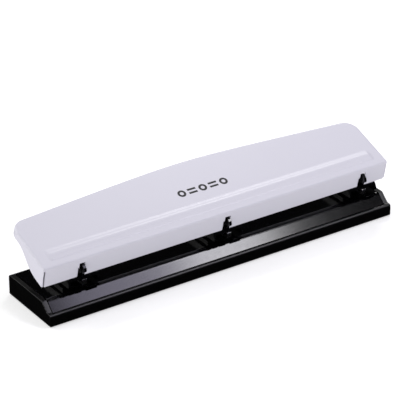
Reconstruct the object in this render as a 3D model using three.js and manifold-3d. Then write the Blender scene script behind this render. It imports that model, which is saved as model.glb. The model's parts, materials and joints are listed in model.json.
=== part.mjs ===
// A three-hole desktop paper punch: a long sheet-steel handle hinged on a rod that three punch heads
// carry, over a steel base plate that sits in a removable plastic chip tray.
// Millimetres, +Z up, X along the length, and paper goes in from the -Y side.
import * as THREE from 'three';
import { mergeVertices } from 'three/addons/utils/BufferGeometryUtils.js';
import Module from 'manifold-3d';

const wasm = await Module();
wasm.setup();

// ---- Driving dimensions ----

// Three-hole filing spacing, and the heads' shift from the middle of the base.
const HOLE_SPACING = 108;
const HEAD_SHIFT = 4.9;
const HEADS = [
  { side: 'left', x: HEAD_SHIFT - HOLE_SPACING },
  { side: 'center', x: HEAD_SHIFT },
  { side: 'right', x: HEAD_SHIFT + HOLE_SPACING },
];

// Clearances: between plates stacked flat, between parts that slide, and between parts that turn.
const STACK_GAP = 0.1;
const SLIDE_GAP = 0.2;
const FIT_GAP = 0.3;

// Chip tray, a moulded tub. Its underside is the plane z = 0 of the design.
const TRAY = { halfLength: 131.6, halfWidth: 25.5, floor: 1.6, endWall: 3.5, frontWall: 2.3, rearWall: 1.6 };
const LIP = { nose: 5.7, shoulder: 7.4, round: 1.2, roundTop: 7.9, top: 8.1, rearY: -22 };

// Base plate, a folded steel channel: a ramp up to a flat deck.
const DECK_Z = 13.7;
const PLATE = 1.2;
const RAMP = { footY: -22.4, footZ: 7.73, topY: -15.9 };
const DECK_BEND = 2;
const SKIRT_BOTTOM = 3;

// Rubber feet, stuck under the tray.
const FOOT = { radius: 5, thick: 0.6, edge: 0.3, x: 118, y: 17 };

// Punch head: a folded frame with a throat for the paper, and an ear that carries the hinge rod.
const HEAD = { halfWidth: 11, sheet: 1.5, bottom: DECK_Z + STACK_GAP, top: 23.5, frontY: -18.6, rearY: 10.9 };
const JAW_Z = 15.3;
const THROAT = { top: 18.3, stopY: 8.8 };
const REAR_FOOT_Y = 18.2;
// Its side, in Y and Z, before the throat is cut.
const HEAD_SIDE = [
  [-18, HEAD.bottom], [-18.6, 14.8], [-18.6, 18.3], [-19, 20.2], [-17.3, HEAD.top],
  [HEAD.rearY, HEAD.top], [HEAD.rearY, HEAD.bottom],
];
// The corner cut off its lower jaw, in X and Y, so that a sheet slides in.
const JAW_CUT = [[-22, -37.2], [3.4, -37.2], [3.4, -16], [-3, -12.6], [-22, -9.6]];
// The ear, in Y and Z: its straight stem, then the control and end points of its rounded nose and top.
const EAR = {
  half: 0.9,
  stem: [[-10.2, 22], [-14, 19.8], [-18.6, 19.8], [-18.3, 24.2]],
  curves: [
    [-18, 26, -19.6, 26.8], [-21.4, 27.6, -21.3, 29.1], [-20.9, 31.6, -17.6, 32.5],
    [-14.8, 33, -12.6, 32], [-10.2, 30.6, -10.2, 27.6],
  ],
};
const GUIDE = { frontY: -12, tongueLeft: -1.5, tongueRight: 2, tipY: -19.2, tipThick: 0.4, tipTop: 21.8 };

// Punch pin: 9/32 in across, hollow-ground at the tip.
const PIN = { radius: 3.55, y: -2.2, tip: 18.4, top: 42.4, dome: 1.3, grind: 0.9, hollow: 1.6 };
const DIE = { bore: 3.7, outer: 5.2 };
const RETAINER = { radius: 5.7, bore: 2.9, thick: 1, z: 39.2 };
const SPRING = { wire: 0.5, radius: 4.7, turns: 5, bottom: 23.8, top: 39 };

// Hinge rod.
const ROD = { y: -13.8, z: 29, radius: 1.7, groove: 1.3, grooveWidth: 1, left: -110.6, right: 117 };
const CLIP = { radius: 2.9, bore: 1.45, thick: 0.7, fromEnd: 2 };

// Handle: a pressed steel cover, tilted up towards the rear about its front ridge. The front flange
// leans out of square with the top by the draft of the press.
const TILT = THREE.MathUtils.degToRad(19.5);
const DRAFT = Math.tan(THREE.MathUtils.degToRad(6.2));
const RIDGE = { y: -20.4, z: 37.9 };
const HANDLE = { halfLength: 131.9, corner: 9.5, sheet: 1, flange: 14.2, lip: 5.2, reach: 60 };
const REAR_EDGE = { corner: 43.7, bulge: 7.3, roundness: 0.3 };
// The end flanges' lower edge: a curve from the front flange's depth to the lip's, by distance back.
const END_CURVE = { front: 7, frontPull: 19, frontDrop: 13.6, rearPull: 21, rearDrop: 5.9, rear: 31 };
const BAND = { halfLength: 124, front: 4.6, crest: 5.8, fall: 10.3, rear: 14.7, height: 0.7 };
const SLOT = { left: -2.9, right: 1.3, top: 4 };
const SLIT = { inner: 129.6, width: 0.9, top: 2 };
const LUG = { radius: 3.4, root: 0.6 };

// Rivets that hold a head to the deck.
const RIVET = { head: 2.6, shank: 1.4, dome: 1.2, tail: 2.2, tailDeep: 0.9, x: 6.5, y: 14.6 };

const ROUND = 32;

// ---- Materials ----

const paint = (color, roughness, metalness) => () =>
  new THREE.MeshStandardMaterial({ color, roughness, metalness });
const whitePaint = paint(0xe2e0ea, 0.38, 0);
const blackPaint = paint(0x0b0b0d, 0.25, 0.2);
const blackPlastic = paint(0x0d0d0f, 0.3, 0);
const bareSteel = paint(0xb4b6ba, 0.3, 1);
const rubber = paint(0x161616, 0.9, 0);

// ---- Solids ----

function toSolid(geometry) {
  const bare = geometry.clone();
  bare.deleteAttribute('normal');
  bare.deleteAttribute('uv');
  const merged = mergeVertices(bare, 1e-4);
  return new wasm.Manifold(new wasm.Mesh({
    numProp: 3,
    vertProperties: new Float32Array(merged.attributes.position.array),
    triVerts: new Uint32Array(merged.index.array),
  }));
}

function toGeometry(solid) {
  const mesh = solid.getMesh();
  const geometry = new THREE.BufferGeometry();
  geometry.setAttribute('position', new THREE.BufferAttribute(mesh.vertProperties, 3));
  geometry.setIndex(new THREE.BufferAttribute(mesh.triVerts, 1));
  geometry.computeVertexNormals();
  return geometry;
}

// A closed outline, drawn in X and Y, raised from z = bottom to z = top.
function slab(outline, bottom, top, curveSegments = 8) {
  const geometry = new THREE.ExtrudeGeometry(outline, { depth: top - bottom, bevelEnabled: false, curveSegments });
  return toSolid(geometry.translate(0, 0, bottom));
}

// A closed outline, drawn in Y and Z, drawn out along X.
function prism(outline, left, right, curveSegments = 8) {
  const geometry = new THREE.ExtrudeGeometry(outline, { depth: right - left, bevelEnabled: false, curveSegments });
  const turn = new THREE.Matrix4().makeBasis(
    new THREE.Vector3(0, 1, 0), new THREE.Vector3(0, 0, 1), new THREE.Vector3(1, 0, 0),
  );
  return toSolid(geometry.applyMatrix4(turn).translate(left, 0, 0));
}

function block(x0, x1, y0, y1, z0, z1) {
  const geometry = new THREE.BoxGeometry(x1 - x0, y1 - y0, z1 - z0);
  return toSolid(geometry.translate((x0 + x1) / 2, (y0 + y1) / 2, (z0 + z1) / 2));
}

// An upright round solid with the given (radius, height) profile, from the axis back to the axis.
function turned(profile, segments = ROUND) {
  const points = profile.map(([radius, height]) => new THREE.Vector2(radius, height));
  return new THREE.LatheGeometry(points, segments).rotateX(Math.PI / 2);
}

function drill(x, y, radius, bottom, top) {
  const cylinder = new THREE.CylinderGeometry(radius, radius, top - bottom, ROUND);
  return toSolid(cylinder.rotateX(Math.PI / 2).translate(x, y, (bottom + top) / 2));
}

function outlineOf(points) {
  return new THREE.Shape(points.map(([a, b]) => new THREE.Vector2(a, b)));
}

function part(name, geometry, material) {
  const mesh = new THREE.Mesh(geometry, material());
  mesh.name = name;
  return mesh;
}

// ---- Chip tray and feet ----

function footPlaces() {
  return [['front_left', -1, -1], ['front_right', 1, -1], ['rear_left', -1, 1], ['rear_right', 1, 1]]
    .map(([name, sx, sy]) => ({ name, x: sx * FOOT.x, y: sy * FOOT.y }));
}

function chipTray() {
  const end = new THREE.Shape();
  end.moveTo(-TRAY.halfWidth, 0);
  end.lineTo(-TRAY.halfWidth, LIP.nose);
  end.quadraticCurveTo(-TRAY.halfWidth, LIP.shoulder, -TRAY.halfWidth + LIP.round, LIP.roundTop);
  end.lineTo(LIP.rearY, LIP.top);
  end.lineTo(RAMP.topY, DECK_Z);
  end.lineTo(TRAY.halfWidth - DECK_BEND, DECK_Z);
  end.quadraticCurveTo(TRAY.halfWidth, DECK_Z, TRAY.halfWidth, DECK_Z - DECK_BEND);
  end.lineTo(TRAY.halfWidth, 0);
  const insideX = TRAY.halfLength - TRAY.endWall;
  const frontY = -TRAY.halfWidth + TRAY.frontWall;
  const rearY = TRAY.halfWidth - TRAY.rearWall;
  const tray = prism(end, -TRAY.halfLength, TRAY.halfLength, 4)
    .subtract(block(-insideX, insideX, frontY, rearY, TRAY.floor, 2 * DECK_Z));
  return part('chip_tray', toGeometry(tray), blackPlastic);
}

function foot({ name, x, y }) {
  const { radius, thick, edge } = FOOT;
  const geometry = turned([
    [0, -thick], [radius - edge, -thick], [radius, edge - thick], [radius, 0], [0, 0],
  ], 24).translate(0, 0, -STACK_GAP);
  return part(`rubber_foot_${name}`, geometry.translate(x, y, 0), rubber);
}

// ---- Base plate and its rivets ----

function basePlate() {
  const deckRear = TRAY.halfWidth - TRAY.rearWall - FIT_GAP;
  const inside = PLATE * Math.tan(Math.PI / 8);
  const section = new THREE.Shape();
  section.moveTo(RAMP.footY, SKIRT_BOTTOM);
  section.lineTo(RAMP.footY, RAMP.footZ);
  section.lineTo(RAMP.topY, DECK_Z);
  section.lineTo(deckRear - DECK_BEND, DECK_Z);
  section.absarc(deckRear - DECK_BEND, DECK_Z - DECK_BEND, DECK_BEND, Math.PI / 2, 0, true);
  section.lineTo(deckRear, SKIRT_BOTTOM);
  section.lineTo(deckRear - PLATE, SKIRT_BOTTOM);
  section.absarc(deckRear - DECK_BEND, DECK_Z - DECK_BEND, DECK_BEND - PLATE, 0, Math.PI / 2, false);
  section.lineTo(RAMP.topY + inside, DECK_Z - PLATE);
  section.lineTo(RAMP.footY + PLATE, RAMP.footZ - inside);
  section.lineTo(RAMP.footY + PLATE, SKIRT_BOTTOM);
  const halfLength = TRAY.halfLength - TRAY.endWall - FIT_GAP;
  let plate = prism(section, -halfLength, halfLength, 5);
  for (const head of HEADS) {
    plate = plate.subtract(drill(head.x, PIN.y, DIE.bore + 1, 0, 2 * DECK_Z));
    for (const sx of [-1, 1]) {
      plate = plate.subtract(drill(head.x + sx * RIVET.x, RIVET.y, RIVET.shank + FIT_GAP, 0, 2 * DECK_Z));
    }
  }
  return part('base_plate', toGeometry(plate), blackPaint);
}

function rivet(head, side, sx) {
  const under = JAW_Z + STACK_GAP;
  const below = DECK_Z - PLATE - STACK_GAP;
  const profile = [[0, below - RIVET.tailDeep], [RIVET.tail, below - RIVET.tailDeep], [RIVET.tail, below]];
  profile.push([RIVET.shank, below], [RIVET.shank, under], [RIVET.head, under]);
  for (const angle of [30, 60]) {
    const turn = THREE.MathUtils.degToRad(angle);
    profile.push([RIVET.head * Math.cos(turn), under + RIVET.dome * Math.sin(turn)]);
  }
  profile.push([0, under + RIVET.dome]);
  const geometry = turned(profile, 20).translate(head.x + sx * RIVET.x, RIVET.y, 0);
  return part(`rivet_${head.side}_${side}`, geometry, bareSteel);
}

// ---- Punch heads ----

function earOutline() {
  const ear = outlineOf(EAR.stem);
  for (const curve of EAR.curves) ear.quadraticCurveTo(...curve);
  return ear;
}

function headFrame(head) {
  const { halfWidth, sheet, bottom, top, frontY, rearY } = HEAD;
  const hollow = block(-halfWidth + sheet, halfWidth - sheet, 2 * frontY, rearY - sheet, JAW_Z, top - sheet);
  const throat = block(-2 * halfWidth, 2 * halfWidth, 2 * frontY, THROAT.stopY, JAW_Z, THROAT.top);
  const rearFoot = block(-halfWidth, halfWidth, rearY - sheet, REAR_FOOT_Y, bottom, JAW_Z);
  const rodHole = new THREE.Shape().absarc(ROD.y, ROD.z, ROD.radius + FIT_GAP, 0, 2 * Math.PI, false);
  let frame = prism(outlineOf(HEAD_SIDE), -halfWidth, halfWidth)
    .subtract(hollow)
    .subtract(throat)
    .subtract(slab(outlineOf(JAW_CUT), bottom - 1, JAW_Z + 1))
    .add(rearFoot)
    .add(prism(earOutline(), -EAR.half, EAR.half, 4))
    .subtract(prism(rodHole, -2 * EAR.half, 2 * EAR.half, 12))
    .subtract(drill(0, PIN.y, PIN.radius + SLIDE_GAP, JAW_Z + 1, 2 * top))
    .subtract(drill(0, PIN.y, DIE.outer + SLIDE_GAP, 0, JAW_Z + 1));
  for (const sx of [-1, 1]) {
    frame = frame.subtract(drill(sx * RIVET.x, RIVET.y, RIVET.shank + FIT_GAP, 0, top));
  }
  return part(`head_frame_${head.side}`, toGeometry(frame).translate(head.x, 0, 0), blackPaint);
}

// The lower guide of the pin, which also strips the sheet off it. A narrow tongue reaches the front and
// turns up there.
function guidePlate(head) {
  const inside = HEAD.halfWidth - HEAD.sheet - SLIDE_GAP;
  const rearY = HEAD.rearY - HEAD.sheet - SLIDE_GAP;
  const top = THROAT.top + HEAD.sheet - STACK_GAP;
  const plate = block(-inside, inside, GUIDE.frontY, rearY, THROAT.top, top)
    .add(block(GUIDE.tongueLeft, GUIDE.tongueRight, GUIDE.tipY, GUIDE.frontY + 1, THROAT.top, top))
    .add(block(
      GUIDE.tongueLeft, GUIDE.tongueRight, GUIDE.tipY, GUIDE.tipY + GUIDE.tipThick, THROAT.top, GUIDE.tipTop,
    ))
    .subtract(drill(0, PIN.y, PIN.radius + SLIDE_GAP, 0, 2 * THROAT.top));
  return part(`guide_plate_${head.side}`, toGeometry(plate).translate(head.x, 0, 0), bareSteel);
}

function dieBushing(head) {
  const ring = drill(0, PIN.y, DIE.outer, HEAD.bottom, JAW_Z)
    .subtract(drill(0, PIN.y, DIE.bore, 0, 2 * JAW_Z));
  return part(`die_bushing_${head.side}`, toGeometry(ring).translate(head.x, 0, 0), bareSteel);
}

function punchPin(head) {
  const { radius, tip, top, dome, grind, hollow } = PIN;
  const neck = RETAINER.bore - FIT_GAP;
  const neckBottom = RETAINER.z - STACK_GAP;
  const neckTop = RETAINER.z + RETAINER.thick + STACK_GAP;
  const geometry = turned([
    [0, tip + hollow], [radius - grind, tip + grind], [radius, tip], [radius, neckBottom], [neck, neckBottom],
    [neck, neckTop], [radius, neckTop], [radius, top - dome], [radius * 0.8, top - dome * 0.4],
    [radius * 0.45, top - dome * 0.1], [0, top],
  ]);
  return part(`punch_pin_${head.side}`, geometry.translate(head.x, PIN.y, 0), bareSteel);
}

function springRetainer(head) {
  const { radius, bore, thick, z } = RETAINER;
  const washer = drill(0, PIN.y, radius, z, z + thick).subtract(drill(0, PIN.y, bore, 0, 2 * z));
  return part(`spring_retainer_${head.side}`, toGeometry(washer).translate(head.x, 0, 0), bareSteel);
}

function returnSpring(head) {
  const { wire, radius, turns, bottom, top } = SPRING;
  class Coil extends THREE.Curve {
    getPoint(t, target = new THREE.Vector3()) {
      const turn = 2 * Math.PI * turns * t;
      const height = bottom + wire + (top - bottom - 2 * wire) * t;
      return target.set(radius * Math.cos(turn), radius * Math.sin(turn), height);
    }
  }
  const section = new THREE.Shape().absarc(0, 0, wire, 0, 2 * Math.PI, false);
  const geometry = new THREE.ExtrudeGeometry(section, {
    steps: turns * 14, extrudePath: new Coil(), curveSegments: 3, bevelEnabled: false,
  });
  const coil = toGeometry(toSolid(geometry)).translate(head.x, PIN.y, 0);
  return part(`return_spring_${head.side}`, coil, bareSteel);
}

// ---- Hinge rod ----

function pivotRod() {
  const { radius, groove, grooveWidth, left, right } = ROD;
  const leftGroove = left + CLIP.fromEnd;
  const rightGroove = right - CLIP.fromEnd - grooveWidth;
  const edge = 0.4;
  const profile = [
    [0, left], [radius - edge, left], [radius, left + edge], [radius, leftGroove], [groove, leftGroove],
    [groove, leftGroove + grooveWidth], [radius, leftGroove + grooveWidth], [radius, rightGroove],
    [groove, rightGroove], [groove, rightGroove + grooveWidth], [radius, rightGroove + grooveWidth],
    [radius, right - edge], [radius - edge, right], [0, right],
  ];
  const geometry = turned(profile, 20).rotateY(Math.PI / 2);
  return part('pivot_rod', geometry.translate(0, ROD.y, ROD.z), bareSteel);
}

// An open clip that snaps into a groove of the rod.
function rodClip(side, left) {
  const ring = drill(0, 0, CLIP.radius, 0, CLIP.thick).subtract(drill(0, 0, CLIP.bore, -1, 2));
  const mouth = block(-CLIP.bore * 0.8, CLIP.bore * 0.8, 0, 2 * CLIP.radius, -1, 2);
  const geometry = toGeometry(ring.subtract(mouth)).rotateX(Math.PI / 2).rotateZ(Math.PI / 2);
  return part(`rod_clip_${side}`, geometry.translate(left, ROD.y, ROD.z), bareSteel);
}

// ---- Handle ----
// In the handle's own frame X is along it, Y runs back from the front ridge in the plane of its top,
// and Z is square to that plane, so that depths below the top are negative Z.

// Where the rod crosses the handle's frame.
function rodInHandle() {
  const back = ROD.y - RIDGE.y;
  const up = ROD.z - RIDGE.z;
  return {
    y: back * Math.cos(TILT) + up * Math.sin(TILT),
    z: up * Math.cos(TILT) - back * Math.sin(TILT),
  };
}

// The rear edge swells towards the middle: a hyperbola with almost straight flanks.
function rearEdge(x) {
  const { corner, bulge, roundness } = REAR_EDGE;
  const u = Math.abs(x) / (HANDLE.halfLength - HANDLE.corner);
  const most = Math.hypot(1, roundness);
  return corner + (bulge * (most - Math.hypot(u, roundness))) / (most - roundness);
}

// The handle's plan, set in from its outer edge. It runs on past the front flange, which trims it.
function handlePlan(inset) {
  const { halfLength, corner, flange } = HANDLE;
  const cornerX = halfLength - corner;
  const cornerY = rearEdge(cornerX) - corner;
  const plan = outlineOf([[inset - halfLength, -flange], [halfLength - inset, -flange]]);
  plan.absarc(cornerX, cornerY, corner - inset, 0, Math.PI / 2, false);
  const steps = 20;
  for (let i = 1; i < steps; i += 1) {
    const x = cornerX * (1 - (2 * i) / steps);
    plan.lineTo(x, rearEdge(x) - inset);
  }
  plan.absarc(-cornerX, cornerY, corner - inset, Math.PI / 2, Math.PI, false);
  return plan;
}

// The handle seen from the end: the front flange with its draft, then the
// lower edge of the end flange, rising to the lip round the back.
function handleSide() {
  const { flange, lip, reach } = HANDLE;
  const { front, frontPull, frontDrop, rearPull, rearDrop, rear } = END_CURVE;
  const side = outlineOf([
    [DRAFT, 1], [-DRAFT * flange, -flange], [front, -flange],
  ]);
  side.bezierCurveTo(frontPull, -frontDrop, rearPull, -rearDrop, rear, -lip);
  side.lineTo(reach, -lip);
  side.lineTo(reach, 1);
  return side;
}

function bandOutline(shift) {
  return outlineOf([
    [BAND.front, shift - 0.5], [BAND.front, shift], [BAND.crest, shift + BAND.height],
    [BAND.fall, shift + BAND.height], [BAND.rear, shift], [BAND.rear, shift - 0.5],
  ]);
}

// A lug bent back from the left edge of a slot in the front flange, with an eye for the rod.
function handleLug(head) {
  const { radius, root } = LUG;
  const rod = rodInHandle();
  const flangeMiddle = (z) => [DRAFT * z + HANDLE.sheet / 2, z];
  const web = outlineOf([
    flangeMiddle(rod.z + radius + root), [rod.y, rod.z + radius], [rod.y, rod.z - radius],
    flangeMiddle(rod.z - radius),
  ]);
  const eye = new THREE.Shape().absarc(rod.y, rod.z, radius, 0, 2 * Math.PI, false);
  const hole = new THREE.Shape().absarc(rod.y, rod.z, ROD.radius + FIT_GAP, 0, 2 * Math.PI, false);
  const right = head.x + SLOT.left;
  const left = right - HANDLE.sheet;
  return prism(web, left, right)
    .add(prism(eye, left, right, 12))
    .subtract(prism(hole, left - 1, right + 1, 12));
}

function handle() {
  const { halfLength, sheet, flange } = HANDLE;
  const inside = slab(handlePlan(sheet), -2 * flange, -sheet, 6)
    .subtract(prism(outlineOf([
      [sheet + DRAFT, 1], [sheet - 2 * DRAFT * flange, -2 * flange], [-flange, -2 * flange], [-flange, 1],
    ]), -2 * halfLength, 2 * halfLength));
  let shell = slab(handlePlan(0), -flange, 0, 6)
    .intersect(prism(handleSide(), -2 * halfLength, 2 * halfLength, 6))
    .add(prism(bandOutline(0), -BAND.halfLength, BAND.halfLength))
    .subtract(inside)
    .subtract(prism(bandOutline(-sheet), -BAND.halfLength, BAND.halfLength));
  const frontCut = (left, right, top) => block(left, right, -flange, sheet + 0.1, -2 * flange, -top);
  for (const head of HEADS) {
    shell = shell.subtract(frontCut(head.x + SLOT.left, head.x + SLOT.right, SLOT.top)).add(handleLug(head));
  }
  shell = shell
    .subtract(frontCut(SLIT.inner, SLIT.inner + SLIT.width, SLIT.top))
    .subtract(frontCut(-SLIT.inner - SLIT.width, -SLIT.inner, SLIT.top));
  return part('handle', toGeometry(shell), whitePaint);
}

// ---- The whole punch ----

const base = new THREE.Group();
base.add(chipTray(), ...footPlaces().map(foot), basePlate());
for (const head of HEADS) {
  base.add(headFrame(head), guidePlate(head), dieBushing(head));
  base.add(rivet(head, 'left', -1), rivet(head, 'right', 1));
  base.add(punchPin(head), springRetainer(head), returnSpring(head));
}
const clipPlay = (ROD.grooveWidth - CLIP.thick) / 2;
base.add(
  pivotRod(),
  rodClip('left', ROD.left + CLIP.fromEnd + clipPlay),
  rodClip('right', ROD.right - CLIP.fromEnd - ROD.grooveWidth + clipPlay),
);

const cover = new THREE.Group();
cover.position.set(0, RIDGE.y, RIDGE.z);
cover.rotation.x = TILT;
cover.add(handle());

// The origin is in the middle of the punch's outline, on the surface that its feet stand on.
const group = new THREE.Group();
group.add(base, cover);
group.updateMatrixWorld(true);
const size = new THREE.Box3().setFromObject(group, true);
group.position.set(0, -(size.min.y + size.max.y) / 2, -size.min.z);

export default group;
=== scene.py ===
"""The looks of a three-hole desktop punch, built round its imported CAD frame.

Shapes are given in millimetres and become metres where a mesh is made. +Z is up and -Y is the front.
"""
import json
import math

import bmesh
import bpy
from mathutils import Matrix, Vector


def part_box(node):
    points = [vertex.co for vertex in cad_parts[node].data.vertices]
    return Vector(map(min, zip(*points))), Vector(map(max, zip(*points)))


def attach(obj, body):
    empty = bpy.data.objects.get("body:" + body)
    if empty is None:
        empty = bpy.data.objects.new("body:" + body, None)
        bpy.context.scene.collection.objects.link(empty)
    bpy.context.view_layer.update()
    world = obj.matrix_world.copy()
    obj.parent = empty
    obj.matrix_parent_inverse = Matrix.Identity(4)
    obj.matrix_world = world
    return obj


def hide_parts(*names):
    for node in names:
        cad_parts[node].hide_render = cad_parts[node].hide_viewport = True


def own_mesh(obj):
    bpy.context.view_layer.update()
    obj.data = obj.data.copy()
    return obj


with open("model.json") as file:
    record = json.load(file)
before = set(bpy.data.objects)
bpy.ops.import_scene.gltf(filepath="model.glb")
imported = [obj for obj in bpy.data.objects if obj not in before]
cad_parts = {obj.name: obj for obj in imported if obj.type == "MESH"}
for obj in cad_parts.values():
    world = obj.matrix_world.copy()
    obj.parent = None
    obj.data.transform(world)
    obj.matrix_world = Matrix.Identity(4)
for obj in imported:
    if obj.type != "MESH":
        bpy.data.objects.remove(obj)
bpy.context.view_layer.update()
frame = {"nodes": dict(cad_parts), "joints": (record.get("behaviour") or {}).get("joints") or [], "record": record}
nodes = frame["nodes"]
MM = 0.001

# ---- Places, worked out from the frame ----

tray_low, tray_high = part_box("chip_tray")
handle_low, handle_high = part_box("handle")
joints = {joint["name"]: joint for joint in frame["joints"]}
MID_Y = (tray_low.y + tray_high.y) / 2
TRAY_Z = tray_low.z
SIDES = ("left", "center", "right")
HEAD_X = [sum(corner.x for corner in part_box(f"punch_pin_{side}")) / 2 / MM for side in SIDES]

# ---- Dimensions, in millimetres ----

# The handle: the tilt of its top, the lean of its front flange, how far back that lean fades out of the end
# flanges, the sheet's thickness, the roundings, and the depths of the walls.
TILT = math.radians(19.5)
DRAFT = math.radians(6.2)
DRAFT_FADE = 9
SHEET = 1.0
HALF_LENGTH = handle_high.x / MM
REAR_CORNER, FRONT_CORNER, TOP_ROUND = 9.5, 1.7, 1.6
FLANGE, LIP = 14.2, 5.2
REAR_EDGE = {"corner": 43.7, "bulge": 7.3, "roundness": 0.3}
# The lower edge of an end flange is a cubic curve through these points, each (back from the front, depth).
END_CURVE = ((7, FLANGE), (19, 13.6), (21, 5.9), (31, LIP))
# Slots and lugs are given from the middle of their head, and tops are depths below the handle's top.
SLOT = {"left": -2.9, "right": 1.3, "top": 4}
SLIT = {"inner": HALF_LENGTH - FRONT_CORNER, "width": 1.05, "top": 2}
LUG = {"bend": 1.6, "top": 7.4, "radius": 3.4, "hole": 2}
BAND = {"half_length": 124.6, "front": 4.6, "rear": 14.7, "fade": 2.4, "corner": 1.6}
# The band's section: (share of its width from the front, height).
BAND_PROFILE = ((0, 0), (0.12, 0.42), (0.3, 0.48), (0.46, 0.68), (0.56, 0.7), (0.95, 0.06), (1, 0))

# The base plate's ramp, and how far each side of its upper edge the bend reaches.
RAMP = {"run": 6.5, "rise": 5.97, "bend": 2.3}

# How the handle's mesh is divided. Pitch, reach, clear and the wall's rows are in millimetres, and the rest
# are counts of steps.
COLUMNS = {"pitch": 12, "reach": 120, "clear": 4}
ROUND_STEPS = 6
WALL_ROWS = (SLIT["top"], SLOT["top"], LUG["top"], 9, 10.6, 12.4, FLANGE)
PLAN_STEPS = {"front_corner": 5, "side": 18, "rear_corner": 12, "rear": 56}
LUG_STEPS = {"bend": 6, "rim": 20, "hole": 24}
BAND_STEPS = {"width": 40, "fade": 8, "end": 13, "pitch": 23, "reach": 115}

RIDGE_Y = handle_low.y
RIDGE_Z = handle_high.z - (REAR_EDGE["corner"] + REAR_EDGE["bulge"]) * MM * math.sin(TILT)


def handle_place(along, back, up):
    """A point given along the handle, back from its ridge in the plane of its top, and above that plane."""
    return Vector((
        along * MM,
        RIDGE_Y + (back * math.cos(TILT) - up * math.sin(TILT)) * MM,
        RIDGE_Z + (back * math.sin(TILT) + up * math.cos(TILT)) * MM,
    ))


def smooth(value):
    """Eases from 0 to 1, and stays there on both sides."""
    value = min(max(value, 0), 1)
    return value * value * (3 - 2 * value)


# ---- Materials ----

# The part of a noise's range that a colour's spread is laid over.
NOISE_SPAN = (0.3, 0.7)


class Look:
    """A Principled material, and the nodes that give its colour, roughness and relief their detail."""

    def __init__(self, name, color, roughness, metallic=0.0):
        self.material = bpy.data.materials.new(name)
        self.material.use_nodes = True
        self.tree = self.material.node_tree
        self.shader = self.tree.nodes["Principled BSDF"]
        self.shader.inputs["Metallic"].default_value = metallic
        self.color, self.roughness = color, roughness
        self.place = self.tree.nodes.new("ShaderNodeTexCoord").outputs["Object"]

    def noise(self, scale, detail, stretch=(1, 1, 1)):
        mapping = self.tree.nodes.new("ShaderNodeMapping")
        mapping.inputs["Scale"].default_value = stretch
        self.tree.links.new(self.place, mapping.inputs["Vector"])
        noise = self.tree.nodes.new("ShaderNodeTexNoise")
        noise.inputs["Scale"].default_value = scale
        noise.inputs["Detail"].default_value = detail
        self.tree.links.new(mapping.outputs["Vector"], noise.inputs["Vector"])
        return noise.outputs["Fac"]

    def vary_color(self, pattern, spread):
        """Shifts the colour's brightness by up to that share each way."""
        ramp = self.tree.nodes.new("ShaderNodeValToRGB")
        ends = zip(ramp.color_ramp.elements, NOISE_SPAN, (1 - spread, 1 + spread))
        for element, position, share in ends:
            element.color = (*(channel * share for channel in self.color), 1)
            element.position = position
        self.tree.links.new(pattern, ramp.inputs["Fac"])
        self.tree.links.new(ramp.outputs["Color"], self.shader.inputs["Base Color"])

    def vary_roughness(self, pattern, spread):
        span = self.tree.nodes.new("ShaderNodeMapRange")
        span.inputs["To Min"].default_value = self.roughness - spread
        span.inputs["To Max"].default_value = self.roughness + spread
        self.tree.links.new(pattern, span.inputs["Value"])
        self.tree.links.new(span.outputs["Result"], self.shader.inputs["Roughness"])

    def relief(self, pattern, depth_mm, strength):
        bump = self.tree.nodes.new("ShaderNodeBump")
        bump.inputs["Distance"].default_value = depth_mm * MM
        bump.inputs["Strength"].default_value = strength
        self.tree.links.new(pattern, bump.inputs["Height"])
        self.tree.links.new(bump.outputs["Normal"], self.shader.inputs["Normal"])


def white_paint():
    look = Look("white_powder_paint", (0.698, 0.686, 0.762), 0.34)
    look.vary_color(look.noise(9, 3), 0.012)
    look.vary_roughness(look.noise(260, 2), 0.05)
    look.relief(look.noise(900, 2), 0.012, 0.35)
    return look.material


def black_paint():
    look = Look("black_gloss_paint", (0.001, 0.001, 0.0015), 0.125)
    look.vary_color(look.noise(40, 3), 0.2)
    look.vary_roughness(look.noise(300, 3), 0.025)
    look.relief(look.noise(700, 2), 0.004, 0.3)
    return look.material


def tray_plastic():
    look = Look("black_tray_plastic", (0.001, 0.001, 0.0012), 0.36)
    look.vary_color(look.noise(60, 3), 0.2)
    look.vary_roughness(look.noise(450, 4), 0.04)
    look.relief(look.noise(1600, 3), 0.006, 0.35)
    return look.material


def zinc_steel():
    look = Look("zinc_plated_steel", (0.56, 0.56, 0.58), 0.28, 1.0)
    look.vary_color(look.noise(300, 4), 0.12)
    look.vary_roughness(look.noise(500, 4), 0.08)
    look.relief(look.noise(1800, 3), 0.006, 0.4)
    return look.material


def ground_steel():
    look = Look("ground_hard_steel", (0.62, 0.62, 0.64), 0.2, 1.0)
    look.vary_color(look.noise(200, 3), 0.06)
    look.vary_roughness(look.noise(700, 3, (1, 1, 12)), 0.07)
    look.relief(look.noise(900, 2, (1, 1, 14)), 0.004, 0.5)
    return look.material


def spring_wire():
    look = Look("spring_wire", (0.42, 0.42, 0.44), 0.25, 1.0)
    look.vary_color(look.noise(500, 3), 0.15)
    look.vary_roughness(look.noise(800, 3), 0.08)
    look.relief(look.noise(2500, 2), 0.004, 0.4)
    return look.material


def foot_rubber():
    look = Look("foot_rubber", (0.016, 0.016, 0.017), 0.75)
    look.vary_color(look.noise(250, 4), 0.25)
    look.vary_roughness(look.noise(600, 3), 0.1)
    look.relief(look.noise(1500, 4), 0.03, 0.6)
    return look.material


def print_ink():
    look = Look("black_print_ink", (0.006, 0.006, 0.007), 0.45)
    look.vary_color(look.noise(700, 3), 0.3)
    look.vary_roughness(look.noise(900, 2), 0.08)
    return look.material


LOOKS = {
    "handle_paint": white_paint(), "black_paint": black_paint(), "tray_plastic": tray_plastic(),
    "plain_steel": zinc_steel(), "hard_steel": ground_steel(), "spring_wire": spring_wire(),
    "foot_rubber": foot_rubber(),
}
INK = print_ink()


# ---- Meshes ----

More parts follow.
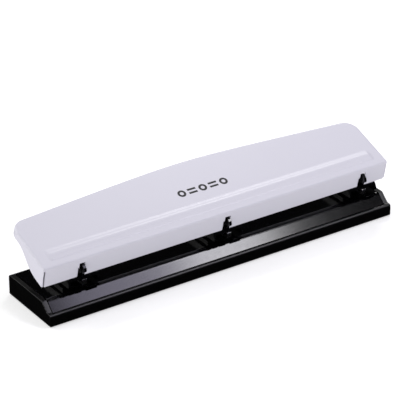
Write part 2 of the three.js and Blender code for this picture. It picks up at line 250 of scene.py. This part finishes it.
NODE_SLOTS = {part["node"]: part["material_slot"] for part in frame["record"]["subparts"]}
NODE_BODIES = {node: body for body, held in frame["record"]["behaviour"]["bodies"].items() for node in held}


def add_piece(name, body, slot, mesh, replaced=()):
    """Makes a piece of a bmesh. It rides on the body, wears the slot's look and replaces the nodes."""
    bmesh.ops.recalc_face_normals(mesh, faces=mesh.faces)
    data = bpy.data.meshes.new(name)
    mesh.to_mesh(data)
    mesh.free()
    for polygon in data.polygons:
        polygon.use_smooth = True
    data.materials.append(LOOKS[slot])
    piece = bpy.data.objects.new(name, data)
    bpy.context.scene.collection.objects.link(piece)
    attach(piece, body)
    if replaced:
        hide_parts(*replaced)
    return piece


def modify(piece, kind, **settings):
    modifier = piece.modifiers.new(kind.lower(), kind)
    for key, value in settings.items():
        setattr(modifier, key, value)


def round_edges(piece, width_mm, angle, segments=3):
    """Rounds the piece's edges that turn by more than the angle, so that they catch the light."""
    modify(piece, "BEVEL", width=width_mm * MM, segments=segments, limit_method="ANGLE",
           angle_limit=math.radians(angle), use_clamp_overlap=True, harden_normals=False)
    modify(piece, "WEIGHTED_NORMAL", weight=80, keep_sharp=False)


def dress_node(name):
    """Gives a CAD node its slot's look."""
    nodes[name].data.materials.clear()
    nodes[name].data.materials.append(LOOKS[NODE_SLOTS[name]])


# How near a point has to be to count as in place, how near two points have to be to merge, in millimetres,
# and the least turn in degrees that keeps an edge between two faces.
SKIN = {"near": 0.01, "merge": 0.002, "turn": 0.8}
BEND_SEGMENTS = 12


def bend_ramp(mesh):
    """Rounds the long edge where the base plate's ramp turns into its deck."""
    near = SKIN["near"] * MM
    top = max(vert.co.z for vert in mesh.verts)
    ramp_end = min(vert.co.y for vert in mesh.verts if top - vert.co.z < near)
    bend = [edge for edge in mesh.edges if all(
        abs(vert.co.y - ramp_end) + abs(vert.co.z - top) < 2 * near for vert in edge.verts)]
    bmesh.ops.bevel(
        mesh, geom=bend, offset=RAMP["bend"] * MM, segments=BEND_SEGMENTS, profile=0.5, affect="EDGES")


def finish_node(name, width_mm, angle):
    """Stands a copy of a CAD node in its place, as one clean skin with rounded edges."""
    mesh = bmesh.new()
    mesh.from_mesh(nodes[name].data)
    bmesh.ops.remove_doubles(mesh, verts=mesh.verts, dist=SKIN["merge"] * MM)
    bmesh.ops.dissolve_limit(
        mesh, verts=mesh.verts, edges=mesh.edges, angle_limit=math.radians(SKIN["turn"]))
    if name == "base_plate":
        bend_ramp(mesh)
    piece = add_piece(f"{name}_skin", NODE_BODIES[name], NODE_SLOTS[name], mesh, [name])
    round_edges(piece, width_mm, angle)


# ---- Handle ----

def rear_edge(along):
    """How far back the rear edge is: a hyperbola that swells towards the middle."""
    share = abs(along) / (HALF_LENGTH - REAR_CORNER)
    roundness = REAR_EDGE["roundness"]
    most = math.hypot(1, roundness)
    swell = REAR_EDGE["bulge"] * (most - math.hypot(share, roundness)) / (most - roundness)
    return REAR_EDGE["corner"] + swell


# How often the search for a point of the end flanges' curve halves its range.
HALVINGS = 30


def end_depth(back):
    """The depth of an end flange at that distance back: the curve from the front flange to the lip."""
    if back <= END_CURVE[0][0]:
        return FLANGE
    if back >= END_CURVE[-1][0]:
        return LIP
    low, high = 0.0, 1.0
    for _ in range(HALVINGS):
        t = (low + high) / 2
        weights = ((1 - t) ** 3, 3 * t * (1 - t) ** 2, 3 * t * t * (1 - t), t ** 3)
        if sum(w * point[0] for w, point in zip(weights, END_CURVE)) < back:
            low = t
        else:
            high = t
    return sum(w * point[1] for w, point in zip(weights, END_CURVE))


def front_columns():
    """Where the front flange's mesh is divided, from left to right, with the edges of its cuts."""
    cuts = {-SLIT["inner"], SLIT["inner"]}
    for x in HEAD_X:
        cuts |= {x + SLOT["left"] - LUG["bend"], x + SLOT["left"], x + SLOT["right"]}
    plain = {
        x for x in range(-COLUMNS["reach"], COLUMNS["reach"] + 1, COLUMNS["pitch"])
        if min(abs(x - cut) for cut in cuts) > COLUMNS["clear"]
    }
    return sorted(cuts | plain)


def plan_columns():
    """The handle's outline, once round: (along, back, outward normal, share of the draft's shear)."""
    columns = [(x, 0.0, (0.0, -1.0), 1.0) for x in front_columns()]

    def corner(x, y, radius, start, end, kind, shear):
        """Adds a rounded corner, from one angle to the other."""
        steps = PLAN_STEPS[kind]
        for i in range(1, steps + 1):
            angle = math.radians(start + (end - start) * i / steps)
            normal = (math.cos(angle), math.sin(angle))
            columns.append((x + radius * normal[0], y + radius * normal[1], normal, shear))

    corner_x = HALF_LENGTH - REAR_CORNER
    slope = math.degrees(math.atan(rear_edge(corner_x) - rear_edge(corner_x + 1)))
    tangent_x = corner_x + REAR_CORNER * math.sin(math.radians(slope))
    corner_y = rear_edge(tangent_x) - REAR_CORNER * math.cos(math.radians(slope))
    front_x = HALF_LENGTH - FRONT_CORNER
    side_steps, rear_steps = PLAN_STEPS["side"], PLAN_STEPS["rear"]
    side = [FRONT_CORNER + (corner_y - FRONT_CORNER) * i / side_steps for i in range(1, side_steps + 1)]
    corner(front_x, FRONT_CORNER, FRONT_CORNER, -90, 0, "front_corner", 1.0)
    for back in side:
        columns.append((HALF_LENGTH, back, (1.0, 0.0), 1 - smooth(back / DRAFT_FADE)))
    corner(corner_x, corner_y, REAR_CORNER, 0, 90 - slope, "rear_corner", 0.0)
    for i in range(1, rear_steps):
        x = tangent_x * (1 - 2 * i / rear_steps)
        run = rear_edge(x - 0.5) - rear_edge(x + 0.5)
        size = math.hypot(run, 1)
        columns.append((x, rear_edge(x), (run / size, 1 / size), 0.0))
    normal = (-math.sin(math.radians(slope)), math.cos(math.radians(slope)))
    columns.append((-tangent_x, rear_edge(tangent_x), normal, 0.0))
    corner(-corner_x, corner_y, REAR_CORNER, 90 + slope, 180, "rear_corner", 0.0)
    for back in reversed(side[:-1]):
        columns.append((-HALF_LENGTH, back, (-1.0, 0.0), 1 - smooth(back / DRAFT_FADE)))
    columns.append((-HALF_LENGTH, FRONT_CORNER, (-1.0, 0.0), 1.0))
    corner(-front_x, FRONT_CORNER, FRONT_CORNER, 180, 270, "front_corner", 1.0)
    return columns[:-1]


def shell_point(column, level):
    """A point of the handle's outer skin, by column and by level: the rounded top edge, then the wall."""
    along, back, normal, shear = column
    forward = max(-normal[1], 0)
    lean = DRAFT * forward
    if level <= ROUND_STEPS:
        angle = math.pi / 2 + (lean - math.pi / 2) * level / ROUND_STEPS
        depth = TOP_ROUND * (1 - math.sin(angle))
        inset = TOP_ROUND * ((1 - math.sin(lean)) / math.cos(lean) - math.cos(angle))
    else:
        start = TOP_ROUND * (1 - math.sin(lean))
        bottom = FLANGE if forward else end_depth(back)
        share = (WALL_ROWS[level - ROUND_STEPS - 1] - start) / (FLANGE - start)
        depth = start + (bottom - start) * share
        inset = -math.tan(lean) * depth
    sheared = math.tan(DRAFT) * depth * (shear - forward)
    along = min(max(along - normal[0] * inset, -HALF_LENGTH), HALF_LENGTH)
    return handle_place(along, back - normal[1] * inset - sheared, -depth)


def is_cut(near, far, row):
    """Whether the front or its corner is cut away between those columns, below that row of the wall."""
    if row < 0 or max(near[1], far[1]) > FRONT_CORNER:
        return False
    top = WALL_ROWS[row]
    middle = (near[0] + far[0]) / 2
    if SLIT["inner"] < abs(middle) < SLIT["inner"] + SLIT["width"]:
        return top >= SLIT["top"]
    for x in HEAD_X:
        if x + SLOT["left"] < middle < x + SLOT["right"]:
            return top >= SLOT["top"]
        if x + SLOT["left"] - LUG["bend"] < middle < x + SLOT["left"]:
            return top >= LUG["top"]
    return False


def add_lug(mesh, x, verts, rod):
    """Bends the flange back at a slot's left edge, into a plate with an eye for the rod."""
    depths = [depth for depth in WALL_ROWS if depth >= LUG["top"]]
    bend, steps = LUG["bend"], LUG_STEPS["bend"]
    strip = [verts]
    for i in range(1, steps + 1):
        angle = math.pi / 2 * i / steps
        inward = bend * (1 - math.cos(angle))
        along = x + SLOT["left"] - bend + bend * math.sin(angle)
        back, down = inward * math.cos(DRAFT), inward * math.sin(DRAFT)
        strip.append([
            mesh.verts.new(handle_place(along, -math.tan(DRAFT) * depth + back, -depth - down))
            for depth in depths
        ])
    for near, far in zip(strip, strip[1:]):
        for i in range(len(depths) - 1):
            mesh.faces.new((near[i], far[i], far[i + 1], near[i + 1]))

    def round_the_rod(radius, angles):
        """Points of the lug's plate at that distance from the rod, given as (back, up)."""
        turns = [math.radians(angle) for angle in angles]
        places = [(rod[0] + radius * math.cos(turn), rod[1] + radius * math.sin(turn)) for turn in turns]
        return [mesh.verts.new(handle_place(x + SLOT["left"], *place)) for place in places]

    steps = LUG_STEPS["rim"]
    rim = round_the_rod(LUG["radius"], [90 - 180 * i / steps for i in range(steps + 1)])
    steps = LUG_STEPS["hole"]
    hole = round_the_rod(LUG["hole"], [360 * i / steps for i in range(steps)])
    outline = strip[-1][::-1] + rim
    edges = [edge_between(mesh, a, b) for a, b in zip(outline, outline[1:] + outline[:1])]
    edges += [edge_between(mesh, a, b) for a, b in zip(hole, hole[1:] + hole[:1])]
    bmesh.ops.triangle_fill(mesh, edges=edges, use_beauty=True)


def edge_between(mesh, a, b):
    return mesh.edges.get((a, b)) or mesh.edges.new((a, b))


def band_height(along, share):
    """The height of the raised band on the top, by place along it and by share of its width."""
    for (start, low), (end, high) in zip(BAND_PROFILE, BAND_PROFILE[1:]):
        if start <= share <= end:
            height = low + (high - low) * smooth((share - start) / (end - start))
    edge = min(share, 1 - share) * (BAND["rear"] - BAND["front"])
    pull = max(BAND["corner"] - edge, 0)
    room = BAND["half_length"] - abs(along) - pull * pull / (2 * BAND["corner"])
    return height * smooth(room / BAND["fade"])


def band_grid(mesh):
    """The raised band as a grid, and the edges round it, all at the height of the handle's top."""
    rows, reach = BAND_STEPS["width"], BAND_STEPS["reach"]
    ends = [BAND["half_length"] - BAND["fade"] * i / BAND_STEPS["fade"] for i in range(BAND_STEPS["end"])]
    plain = list(range(-reach, reach + 1, BAND_STEPS["pitch"]))
    backs = [BAND["front"] + (BAND["rear"] - BAND["front"]) * j / rows for j in range(rows + 1)]
    grid = []
    for along in sorted([-x for x in ends] + plain + ends):
        grid.append([
            mesh.verts.new(handle_place(along, back, band_height(along, j / rows)))
            for j, back in enumerate(backs)
        ])
    for near, far in zip(grid, grid[1:]):
        for j in range(rows):
            mesh.faces.new((near[j], far[j], far[j + 1], near[j + 1]))
    rim = [column[0] for column in grid] + grid[-1][1:] + [column[-1] for column in grid[-2::-1]]
    rim += grid[0][-2:0:-1]
    return [edge_between(mesh, a, b) for a, b in zip(rim, rim[1:] + rim[:1])]


def rod_in_handle():
    """The pivot rod's place in the handle's own terms: back from the ridge, and above the top."""
    rod_y, rod_z = joints["handle_hinge"]["pos_m"][1:]
    back, up = (rod_y - RIDGE_Y) / MM, (rod_z - RIDGE_Z) / MM
    return back * math.cos(TILT) + up * math.sin(TILT), up * math.cos(TILT) - back * math.sin(TILT)


# The width of the handle's rounded edges, the least turn that counts as an edge, and the segments round it.
HANDLE_EDGE = (0.15, 50, 2)


def handle_shell():
    """The handle: one pressed sheet with its walls, slots, corner slits, lugs and raised band."""
    mesh = bmesh.new()
    columns = plan_columns()
    levels = ROUND_STEPS + 1 + len(WALL_ROWS)
    skin = [[mesh.verts.new(shell_point(column, level)) for column in columns] for level in range(levels)]
    count = len(columns)
    for level in range(levels - 1):
        for i in range(count):
            j = (i + 1) % count
            if is_cut(columns[i], columns[j], level - ROUND_STEPS - 1):
                continue
            mesh.faces.new((skin[level][i], skin[level][j], skin[level + 1][j], skin[level + 1][i]))
    alongs = [column[0] for column in columns]
    rod = rod_in_handle()
    for x in HEAD_X:
        start = alongs.index(x + SLOT["left"] - LUG["bend"])
        verts = [row[start] for row, depth in zip(skin[ROUND_STEPS + 1:], WALL_ROWS) if depth >= LUG["top"]]
        add_lug(mesh, x, verts, rod)
    top = [edge_between(mesh, skin[0][i], skin[0][(i + 1) % count]) for i in range(count)]
    bmesh.ops.triangle_fill(mesh, edges=top + band_grid(mesh), use_beauty=True)
    loose = [vert for vert in mesh.verts if not vert.link_faces]
    bmesh.ops.delete(mesh, geom=loose, context="VERTS")
    shell = add_piece("handle_shell", "handle", "handle_paint", mesh, ["handle"])
    top_normal = Vector((0, -math.sin(TILT), math.cos(TILT)))
    largest = max(shell.data.polygons, key=lambda polygon: polygon.area)
    if largest.normal.dot(top_normal) < 0:
        shell.data.flip_normals()
    modify(shell, "SOLIDIFY", thickness=SHEET * MM, offset=-1)
    round_edges(shell, *HANDLE_EDGE)


# ---- Print on the handle ----

# The sign: how far back its middle is, a ring's radius, the width of its lines, the spacing of the rings, the
# length of a dash, the thickness of the ink and the steps round a ring.
MARK = {"back": 25.2, "ring": 2.9, "line": 1.5, "pitch": 16, "dash": 6.2, "thick": 0.05, "steps": 40}


def print_mark():
    """A plain printed sign for three holes: three rings, with a pair of dashes between them."""
    mesh = bmesh.new()

    def raise_outline(loops):
        """Raises quads between two matched closed loops, or one closed loop, into a thin solid."""
        faces = []
        if len(loops) == 2:
            outer, inner = [[mesh.verts.new(handle_place(*p, 0)) for p in loop] for loop in loops]
            for i in range(len(outer)):
                j = (i + 1) % len(outer)
                faces.append(mesh.faces.new((outer[i], outer[j], inner[j], inner[i])))
        else:
            faces.append(mesh.faces.new([mesh.verts.new(handle_place(*p, 0)) for p in loops[0]]))
        raised = bmesh.ops.extrude_face_region(mesh, geom=faces)["geom"]
        lift = handle_place(0, 0, MARK["thick"]) - handle_place(0, 0, 0)
        bmesh.ops.translate(mesh, vec=lift, verts=[v for v in raised if isinstance(v, bmesh.types.BMVert)])

    steps = MARK["steps"]
    circle = [(math.cos(a), math.sin(a)) for a in (math.tau * k / steps for k in range(steps))]
    for i in (-1, 0, 1):
        raise_outline([
            [(i * MARK["pitch"] + r * c, MARK["back"] + r * s) for c, s in circle]
            for r in (MARK["ring"], MARK["ring"] - MARK["line"])
        ])
    half, rise = MARK["dash"] / 2, MARK["line"] / 2
    corners = ((-half, -rise), (half, -rise), (half, rise), (-half, rise))
    for i in (-0.5, 0.5):
        for shift in (-1, 1):
            x, y = i * MARK["pitch"], MARK["back"] + shift * MARK["line"]
            raise_outline([[(x + across, y + up) for across, up in corners]])
    mark = add_piece("print_mark", "handle", "handle_paint", mesh)
    mark.data.materials.clear()
    mark.data.materials.append(INK)
    for polygon in mark.data.polygons:
        polygon.use_smooth = False


# ---- Springs ----

# A spring's wire radius, its open turns, the closed turns at each end, and its mesh's steps a turn and sides.
COIL = {"wire": 0.5, "turns": 5, "dead": 0.9, "steps": 28, "sides": 10}


def spring(side):
    """A compression spring with closed ends, on the punch pin."""
    node = f"return_spring_{side}"
    low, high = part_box(node)
    wire = COIL["wire"] * MM
    middle = (low + high) / 2
    radius = (high.x - low.x) / 2 - wire
    bottom, top = low.z + wire, high.z - wire
    turns, dead = COIL["turns"] + 2 * COIL["dead"], COIL["dead"]
    steps, sides = int(turns * COIL["steps"]), COIL["sides"]
    mesh = bmesh.new()
    rings = []
    for i in range(steps + 1):
        turn = turns * i / steps
        open_share = min(max((turn - dead) / (turns - 2 * dead), 0), 1)
        dead_rise = 2 * wire * (min(turn, dead) + max(turn - turns + dead, 0))
        height = bottom + dead_rise + (top - bottom - 4 * wire * dead) * open_share
        angle = math.tau * turn
        outward = Vector((math.cos(angle), math.sin(angle), 0))
        center = Vector((middle.x, middle.y, height)) + outward * radius
        rings.append([
            mesh.verts.new(center + outward * wire * math.cos(a) + Vector((0, 0, wire * math.sin(a))))
            for a in (math.tau * k / sides for k in range(sides))
        ])
    for near, far in zip(rings, rings[1:]):
        for k in range(sides):
            mesh.faces.new((near[k], near[(k + 1) % sides], far[(k + 1) % sides], far[k]))
    mesh.faces.new(rings[0])
    mesh.faces.new(rings[-1])
    coil = add_piece(f"spring_coil_{side}", "base", "spring_wire", mesh, [node])
    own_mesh(coil)


# ---- The pieces ----

# The width of each kind of piece's rounded edges, and the least turn that counts as an edge, in degrees.
EDGES = {
    "chip_tray": (0.4, 30), "base_plate": (0.3, 30), "head_frame": (0.25, 35), "guide_plate": (0.12, 35),
    "die_bushing": (0.15, 35), "spring_retainer": (0.15, 35), "rod_clip": (0.08, 35),
}
for name in nodes:
    dress_node(name)
    for kind, (width, angle) in EDGES.items():
        if name.startswith(kind):
            finish_node(name, width, angle)

handle_shell()
print_mark()
for side in SIDES:
    spring(side)


# ---- Stage ----

# The camera: angles in degrees, distance in metres, lens and sensor in millimetres, and how far its aim is
# moved right and up from the middle of the punch's foot, in millimetres.
VIEW = {"azimuth": -33.741, "elevation": 27.42, "roll": -0.246, "distance": 1.47176, "clip_end": 20,
        "sensor": 36.0, "lens": 204.416, "right": -3.789, "up": 34.235}
# The floor's half width in metres, its shade, the shade that reflections see, and its glow.
FLOOR = {"half": 4, "shade": 0.75, "dark": 0.003, "glow": 0.45}
# The room's strength as light, in reflections, and as seen.
ROOM = {"light": 0.365, "gloss": 0.01, "seen": 1.0}
WHITE, COOL = (1, 1, 1), (0.82, 0.78, 1)
# Where along the ramp the key softbox shines, in millimetres, and how far left the wide one is, in metres.
KEY_X, KEY_GAP = 6, 0.1


def camera():
    """The camera, high on the punch's front left."""
    azimuth, elevation, roll = (math.radians(VIEW[key]) for key in ("azimuth", "elevation", "roll"))
    back = Vector((math.sin(azimuth) * math.cos(elevation), -math.cos(azimuth) * math.cos(elevation),
                   math.sin(elevation)))
    level = Vector((math.cos(azimuth), math.sin(azimuth), 0))
    upright = back.cross(level)
    right = level * math.cos(roll) + upright * math.sin(roll)
    up = upright * math.cos(roll) - level * math.sin(roll)
    aim = Vector((0, MID_Y, TRAY_Z)) + right * VIEW["right"] * MM + up * VIEW["up"] * MM
    data = bpy.data.cameras.new("camera")
    data.sensor_width = VIEW["sensor"]
    data.lens = VIEW["lens"]
    data.clip_end = VIEW["clip_end"]
    shot = bpy.data.objects.new("camera", data)
    turn = Matrix((right, up, back)).transposed().to_4x4()
    shot.matrix_world = Matrix.Translation(aim + back * VIEW["distance"]) @ turn
    bpy.context.scene.collection.objects.link(shot)
    bpy.context.scene.camera = shot


def mirror_direction(place, tilt):
    """The direction that a face at that place, tilted forward, mirrors towards the camera."""
    normal = Vector((0, -math.sin(tilt), math.cos(tilt)))
    view = (bpy.context.scene.camera.matrix_world.translation - place).normalized()
    return 2 * view.dot(normal) * normal - view


def soft_light(name, place, direction, distance, size, power, color):
    """An oval softbox in that direction from a place, facing it. Its height sweeps from front to rear."""
    data = bpy.data.lights.new(name, "AREA")
    data.shape = "ELLIPSE"
    data.size, data.size_y = size
    data.energy = power
    data.color = color
    light = bpy.data.objects.new(name, data)
    away = Vector(direction).normalized()
    upright = away.cross(Vector((1, 0, 0))).normalized()
    turn = Matrix((upright.cross(away), upright, away)).transposed().to_4x4()
    light.matrix_world = Matrix.Translation(place + away * distance) @ turn
    bpy.context.scene.collection.objects.link(light)


def floor():
    """A plain pale floor. What shines in the punch's gloss is the softboxes, not the floor."""
    half = FLOOR["half"]
    corners = [(-half, -half, 0), (half, -half, 0), (half, half, 0), (-half, half, 0)]
    mesh = bpy.data.meshes.new("floor")
    mesh.from_pydata(corners, [], [(0, 1, 2, 3)])
    plane = bpy.data.objects.new("floor", mesh)
    bpy.context.scene.collection.objects.link(plane)
    look = bpy.data.materials.new("pale_floor")
    look.use_nodes = True
    tree = look.node_tree
    tree.nodes.clear()
    diffuse = tree.nodes.new("ShaderNodeBsdfDiffuse")
    diffuse.inputs["Color"].default_value = (*[FLOOR["shade"]] * 3, 1)
    glow = tree.nodes.new("ShaderNodeEmission")
    glow.inputs["Strength"].default_value = FLOOR["glow"]
    both = tree.nodes.new("ShaderNodeAddShader")
    dark = tree.nodes.new("ShaderNodeBsdfDiffuse")
    dark.inputs["Color"].default_value = (*[FLOOR["dark"]] * 3, 1)
    path = tree.nodes.new("ShaderNodeLightPath")
    mix = tree.nodes.new("ShaderNodeMixShader")
    out = tree.nodes.new("ShaderNodeOutputMaterial")
    tree.links.new(diffuse.outputs[0], both.inputs[0])
    tree.links.new(glow.outputs[0], both.inputs[1])
    tree.links.new(path.outputs["Is Glossy Ray"], mix.inputs["Fac"])
    tree.links.new(both.outputs[0], mix.inputs[1])
    tree.links.new(dark.outputs[0], mix.inputs[2])
    tree.links.new(mix.outputs[0], out.inputs["Surface"])
    mesh.materials.append(look)


def room():
    """Even light from all round, which the gloss sees as a dim room."""
    world = bpy.data.worlds.new("room")
    world.use_nodes = True
    tree = world.node_tree
    background = tree.nodes["Background"]
    background.inputs["Color"].default_value = (1, 1, 1, 1)
    path = tree.nodes.new("ShaderNodeLightPath")
    glossy = tree.nodes.new("ShaderNodeMix")
    glossy.inputs["A"].default_value = ROOM["light"]
    glossy.inputs["B"].default_value = ROOM["gloss"]
    seen = tree.nodes.new("ShaderNodeMix")
    seen.inputs["B"].default_value = ROOM["seen"]
    tree.links.new(path.outputs["Is Glossy Ray"], glossy.inputs["Factor"])
    tree.links.new(glossy.outputs["Result"], seen.inputs["A"])
    tree.links.new(path.outputs["Is Camera Ray"], seen.inputs["Factor"])
    tree.links.new(seen.outputs["Result"], background.inputs["Strength"])
    bpy.context.scene.world = world
    bpy.context.scene.view_settings.view_transform = "Standard"


# Distances, widths and heights of the softboxes are in metres, and powers in watts.
def softboxes():
    """The lights: two that shine in the ramp towards the camera, and three that face the punch's middle."""
    plate_low, plate_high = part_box("base_plate")
    ramp_middle = Vector((
        KEY_X * MM, plate_low.y + RAMP["run"] / 2 * MM, plate_high.z - RAMP["rise"] / 2 * MM))
    beside = ramp_middle - Vector((KEY_GAP, 0, 0))
    toward_key = mirror_direction(ramp_middle, math.atan2(RAMP["rise"], RAMP["run"]))
    middle = Vector((0, MID_Y, 0))
    soft_light("key_softbox", ramp_middle, toward_key, 1.3, (0.12, 1.2), 3.7, WHITE)
    soft_light("wide_softbox", beside, toward_key, 1.32, (0.25, 1.2), 3.1, COOL)
    soft_light("rear_softbox", middle, (0.493, 0.475, 0.73), 1.6, (0.5, 0.22), 4.4, WHITE)
    soft_light("top_softbox", middle, (-0.4, 0.6, 0.7), 1.6, (1.0, 0.8), 7, WHITE)
    soft_light("left_softbox", middle, (-1, 0.1, 0.3), 1.6, (0.6, 0.6), 7.2, WHITE)


camera()
floor()
room()
softboxes()
